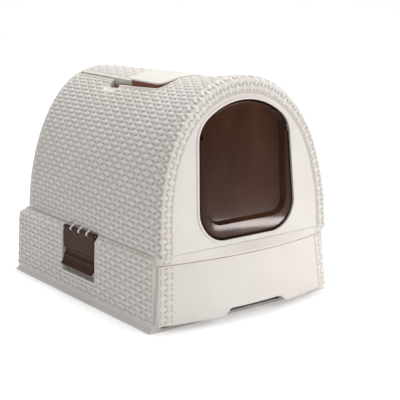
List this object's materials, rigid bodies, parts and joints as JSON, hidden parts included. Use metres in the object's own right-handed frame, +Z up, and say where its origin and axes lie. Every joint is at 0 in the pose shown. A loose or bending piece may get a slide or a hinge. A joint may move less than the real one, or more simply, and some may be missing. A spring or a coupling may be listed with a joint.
{
  "type": "drawer litter box",
  "caption": "Covered litter box with a woven-pattern arched hood, dished swing flap, pull-out bowed drawer, folding top handle, filter lid and side latches.",
  "frame": {"origin": "on the ground under the middle of the footprint", "axes": "+Z up, front with the flap and the drawer towards -Y, +X to the right when looking at its front"},
  "size_m": [0.385, 0.526, 0.3952],
  "materials": {
    "cream_plastic": "satin",
    "brown_gloss_plastic": "polished",
    "brown_plastic": "satin",
    "pin_plastic": "satin",
    "charcoal_felt": "matte"
  },
  "bodies": {
    "base": {"base_housing": "cream_plastic"},
    "drawer": {"drawer_front": "cream_plastic", "litter_tray": "brown_plastic"},
    "hood": {"hood_shell": "cream_plastic", "front_panel": "cream_plastic", "door_bearing_left": "cream_plastic", "door_bearing_right": "cream_plastic", "filter_grille": "brown_plastic", "filter_pad": "charcoal_felt", "lid_hinge_rod": "pin_plastic", "handle_pin_left": "pin_plastic", "handle_pin_right": "pin_plastic", "latch_pin_left": "pin_plastic", "latch_pin_right": "pin_plastic"},
    "flap": {"flap_door": "brown_gloss_plastic"},
    "lid": {"top_lid": "cream_plastic"},
    "handle": {"handle_core": "brown_plastic", "handle_cover": "cream_plastic"},
    "latch_left_body": {"latch_left": "brown_plastic"},
    "latch_right_body": {"latch_right": "brown_plastic"}
  },
  "joints": [
    {"name": "drawer_slide", "type": "slide", "parent": "base", "child": "drawer", "axis": [0, -1, 0], "range_m": [0, 0.38]},
    {"name": "hood_lift", "type": "slide", "parent": "base", "child": "hood", "axis": [0, 0, 1], "range_m": [0, 0.15]},
    {"name": "door_swing", "type": "hinge", "parent": "hood", "child": "flap", "pos_m": [0, -0.2255, 0.302], "axis": [1, 0, 0], "range_deg": [-80, 80]},
    {"name": "lid_hinge", "type": "hinge", "parent": "hood", "child": "lid", "pos_m": [0, 0.208, 0.3874], "axis": [-1, 0, 0], "range_deg": [0, 70]},
    {"name": "handle_fold", "type": "hinge", "parent": "hood", "child": "handle", "pos_m": [0, 0.059, 0.3555], "axis": [-1, 0, 0], "range_deg": [0, 92]},
    {"name": "latch_right_hinge", "type": "hinge", "parent": "hood", "child": "latch_right_body", "pos_m": [0.1772, 0.007, 0.12], "axis": [0, -1, 0], "range_deg": [0, 110]},
    {"name": "latch_left_hinge", "type": "hinge", "parent": "hood", "child": "latch_left_body", "pos_m": [-0.1772, 0.007, 0.12], "axis": [0, 1, 0], "range_deg": [0, 110]}
  ]
}
